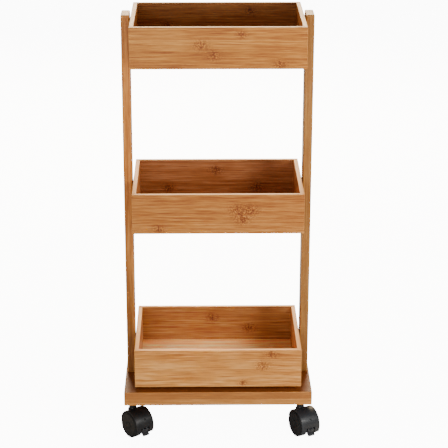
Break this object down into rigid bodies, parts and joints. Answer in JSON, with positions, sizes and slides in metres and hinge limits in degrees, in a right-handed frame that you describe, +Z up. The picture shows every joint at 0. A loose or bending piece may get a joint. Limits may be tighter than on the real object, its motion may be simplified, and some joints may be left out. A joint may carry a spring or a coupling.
{
  "type": "rolling utility cart",
  "caption": "Narrow bamboo cart on casters with open box trays hung one above another between two posts, for storage in a kitchen or bathroom.",
  "frame": {"origin": "on the floor, under the middle of the base board; the way the casters point puts the middle of the whole cart's box 4.0 mm to the right of it and 1.7 mm in front of it", "axes": "+Z up, -Y towards the front of the cart, +X to the right as seen from the front"},
  "size_m": [0.3634, 0.2484, 0.7645],
  "materials": {
    "bamboo": "clear satin lacquer over laminated bamboo",
    "caster_plastic": "moulded, fine grain",
    "wheel_plastic": "moulded, smooth",
    "lever_plastic": "moulded, fine grain",
    "steel": "drawn and zinc plated",
    "zinc": "zinc plated"
  },
  "bodies": {
    "cart_frame": {"base_board": "bamboo", "left_post": "bamboo", "right_post": "bamboo", "top_tray_front": "bamboo", "top_tray_back": "bamboo", "top_tray_left": "bamboo", "top_tray_right": "bamboo", "top_tray_floor": "bamboo", "middle_tray_front": "bamboo", "middle_tray_back": "bamboo", "middle_tray_left": "bamboo", "middle_tray_right": "bamboo", "middle_tray_floor": "bamboo", "bottom_tray_front": "bamboo", "bottom_tray_back": "bamboo", "bottom_tray_left": "bamboo", "bottom_tray_right": "bamboo", "bottom_tray_floor": "bamboo", "top_tray_left_bolt_front": "steel", "top_tray_left_bolt_rear": "steel", "top_tray_right_bolt_front": "steel", "top_tray_right_bolt_rear": "steel", "middle_tray_left_bolt_front": "steel", "middle_tray_left_bolt_rear": "steel", "middle_tray_right_bolt_front": "steel", "middle_tray_right_bolt_rear": "steel", "bottom_tray_left_bolt_front": "steel", "bottom_tray_left_bolt_rear": "steel", "bottom_tray_right_bolt_front": "steel", "bottom_tray_right_bolt_rear": "steel", "left_post_screw_front": "steel", "left_post_screw_rear": "steel", "right_post_screw_front": "steel", "right_post_screw_rear": "steel", "front_left_caster_insert": "zinc", "front_right_caster_insert": "zinc", "rear_left_caster_insert": "zinc", "rear_right_caster_insert": "zinc", "front_left_caster_stem": "steel", "front_right_caster_stem": "steel", "rear_left_caster_stem": "steel", "rear_right_caster_stem": "steel"},
    "front_left_caster": {"front_left_caster_hood": "caster_plastic", "front_left_caster_axle": "steel"},
    "front_left_wheel_left": {"front_left_caster_wheel_left": "wheel_plastic"},
    "front_left_wheel_right": {"front_left_caster_wheel_right": "wheel_plastic"},
    "front_left_lever": {"front_left_brake_lever": "lever_plastic"},
    "front_right_caster": {"front_right_caster_hood": "caster_plastic", "front_right_caster_axle": "steel"},
    "front_right_wheel_left": {"front_right_caster_wheel_left": "wheel_plastic"},
    "front_right_wheel_right": {"front_right_caster_wheel_right": "wheel_plastic"},
    "front_right_lever": {"front_right_brake_lever": "lever_plastic"},
    "rear_left_caster": {"rear_left_caster_hood": "caster_plastic", "rear_left_caster_axle": "steel"},
    "rear_left_wheel_left": {"rear_left_caster_wheel_left": "wheel_plastic"},
    "rear_left_wheel_right": {"rear_left_caster_wheel_right": "wheel_plastic"},
    "rear_right_caster": {"rear_right_caster_hood": "caster_plastic", "rear_right_caster_axle": "steel"},
    "rear_right_wheel_left": {"rear_right_caster_wheel_left": "wheel_plastic"},
    "rear_right_wheel_right": {"rear_right_caster_wheel_right": "wheel_plastic"}
  },
  "joints": [
    {"name": "front_left_swivel", "type": "hinge", "parent": "cart_frame", "child": "front_left_caster", "pos_m": [-0.156, -0.081, 0.055], "axis": [0, 0, 1], "continuous": true},
    {"name": "front_right_swivel", "type": "hinge", "parent": "cart_frame", "child": "front_right_caster", "pos_m": [0.151, -0.081, 0.055], "axis": [0, 0, 1], "continuous": true},
    {"name": "rear_left_swivel", "type": "hinge", "parent": "cart_frame", "child": "rear_left_caster", "pos_m": [-0.156, 0.081, 0.055], "axis": [0, 0, 1], "continuous": true},
    {"name": "rear_right_swivel", "type": "hinge", "parent": "cart_frame", "child": "rear_right_caster", "pos_m": [0.151, 0.081, 0.055], "axis": [0, 0, 1], "continuous": true},
    {"name": "front_left_wheel_left_spin", "type": "hinge", "parent": "front_left_caster", "child": "front_left_wheel_left", "pos_m": [-0.14733, -0.0925, 0.024], "axis": [0.7986, 0.6018, 0], "continuous": true},
    {"name": "front_left_wheel_right_spin", "type": "hinge", "parent": "front_left_caster", "child": "front_left_wheel_right", "pos_m": [-0.14733, -0.0925, 0.024], "axis": [0.7986, 0.6018, 0], "continuous": true},
    {"name": "front_right_wheel_left_spin", "type": "hinge", "parent": "front_right_caster", "child": "front_right_wheel_left", "pos_m": [0.15731, -0.09394, 0.024], "axis": [0.8988, 0.4384, 0], "continuous": true},
    {"name": "front_right_wheel_right_spin", "type": "hinge", "parent": "front_right_caster", "child": "front_right_wheel_right", "pos_m": [0.15731, -0.09394, 0.024], "axis": [0.8988, 0.4384, 0], "continuous": true},
    {"name": "rear_left_wheel_left_spin", "type": "hinge", "parent": "rear_left_caster", "child": "rear_left_wheel_left", "pos_m": [-0.14174, 0.083, 0.024], "axis": [-0.1392, 0.9903, 0], "continuous": true},
    {"name": "rear_left_wheel_right_spin", "type": "hinge", "parent": "rear_left_caster", "child": "rear_left_wheel_right", "pos_m": [-0.14174, 0.083, 0.024], "axis": [-0.1392, 0.9903, 0], "continuous": true},
    {"name": "rear_right_wheel_left_spin", "type": "hinge", "parent": "rear_right_caster", "child": "rear_right_wheel_left", "pos_m": [0.1515, 0.09539, 0.024], "axis": [-0.9994, 0.0349, 0], "continuous": true},
    {"name": "rear_right_wheel_right_spin", "type": "hinge", "parent": "rear_right_caster", "child": "rear_right_wheel_right", "pos_m": [0.1515, 0.09539, 0.024], "axis": [-0.9994, 0.0349, 0], "continuous": true},
    {"name": "front_left_brake", "type": "hinge", "parent": "front_left_caster", "child": "front_left_lever", "pos_m": [-0.13564, -0.10801, 0.0223], "axis": [-0.7986, -0.6018, 0], "range_deg": [0, 20]},
    {"name": "front_right_brake", "type": "hinge", "parent": "front_right_caster", "child": "front_right_lever", "pos_m": [0.16583, -0.1114, 0.0223], "axis": [-0.8988, -0.4384, 0], "range_deg": [0, 20]}
  ]
}
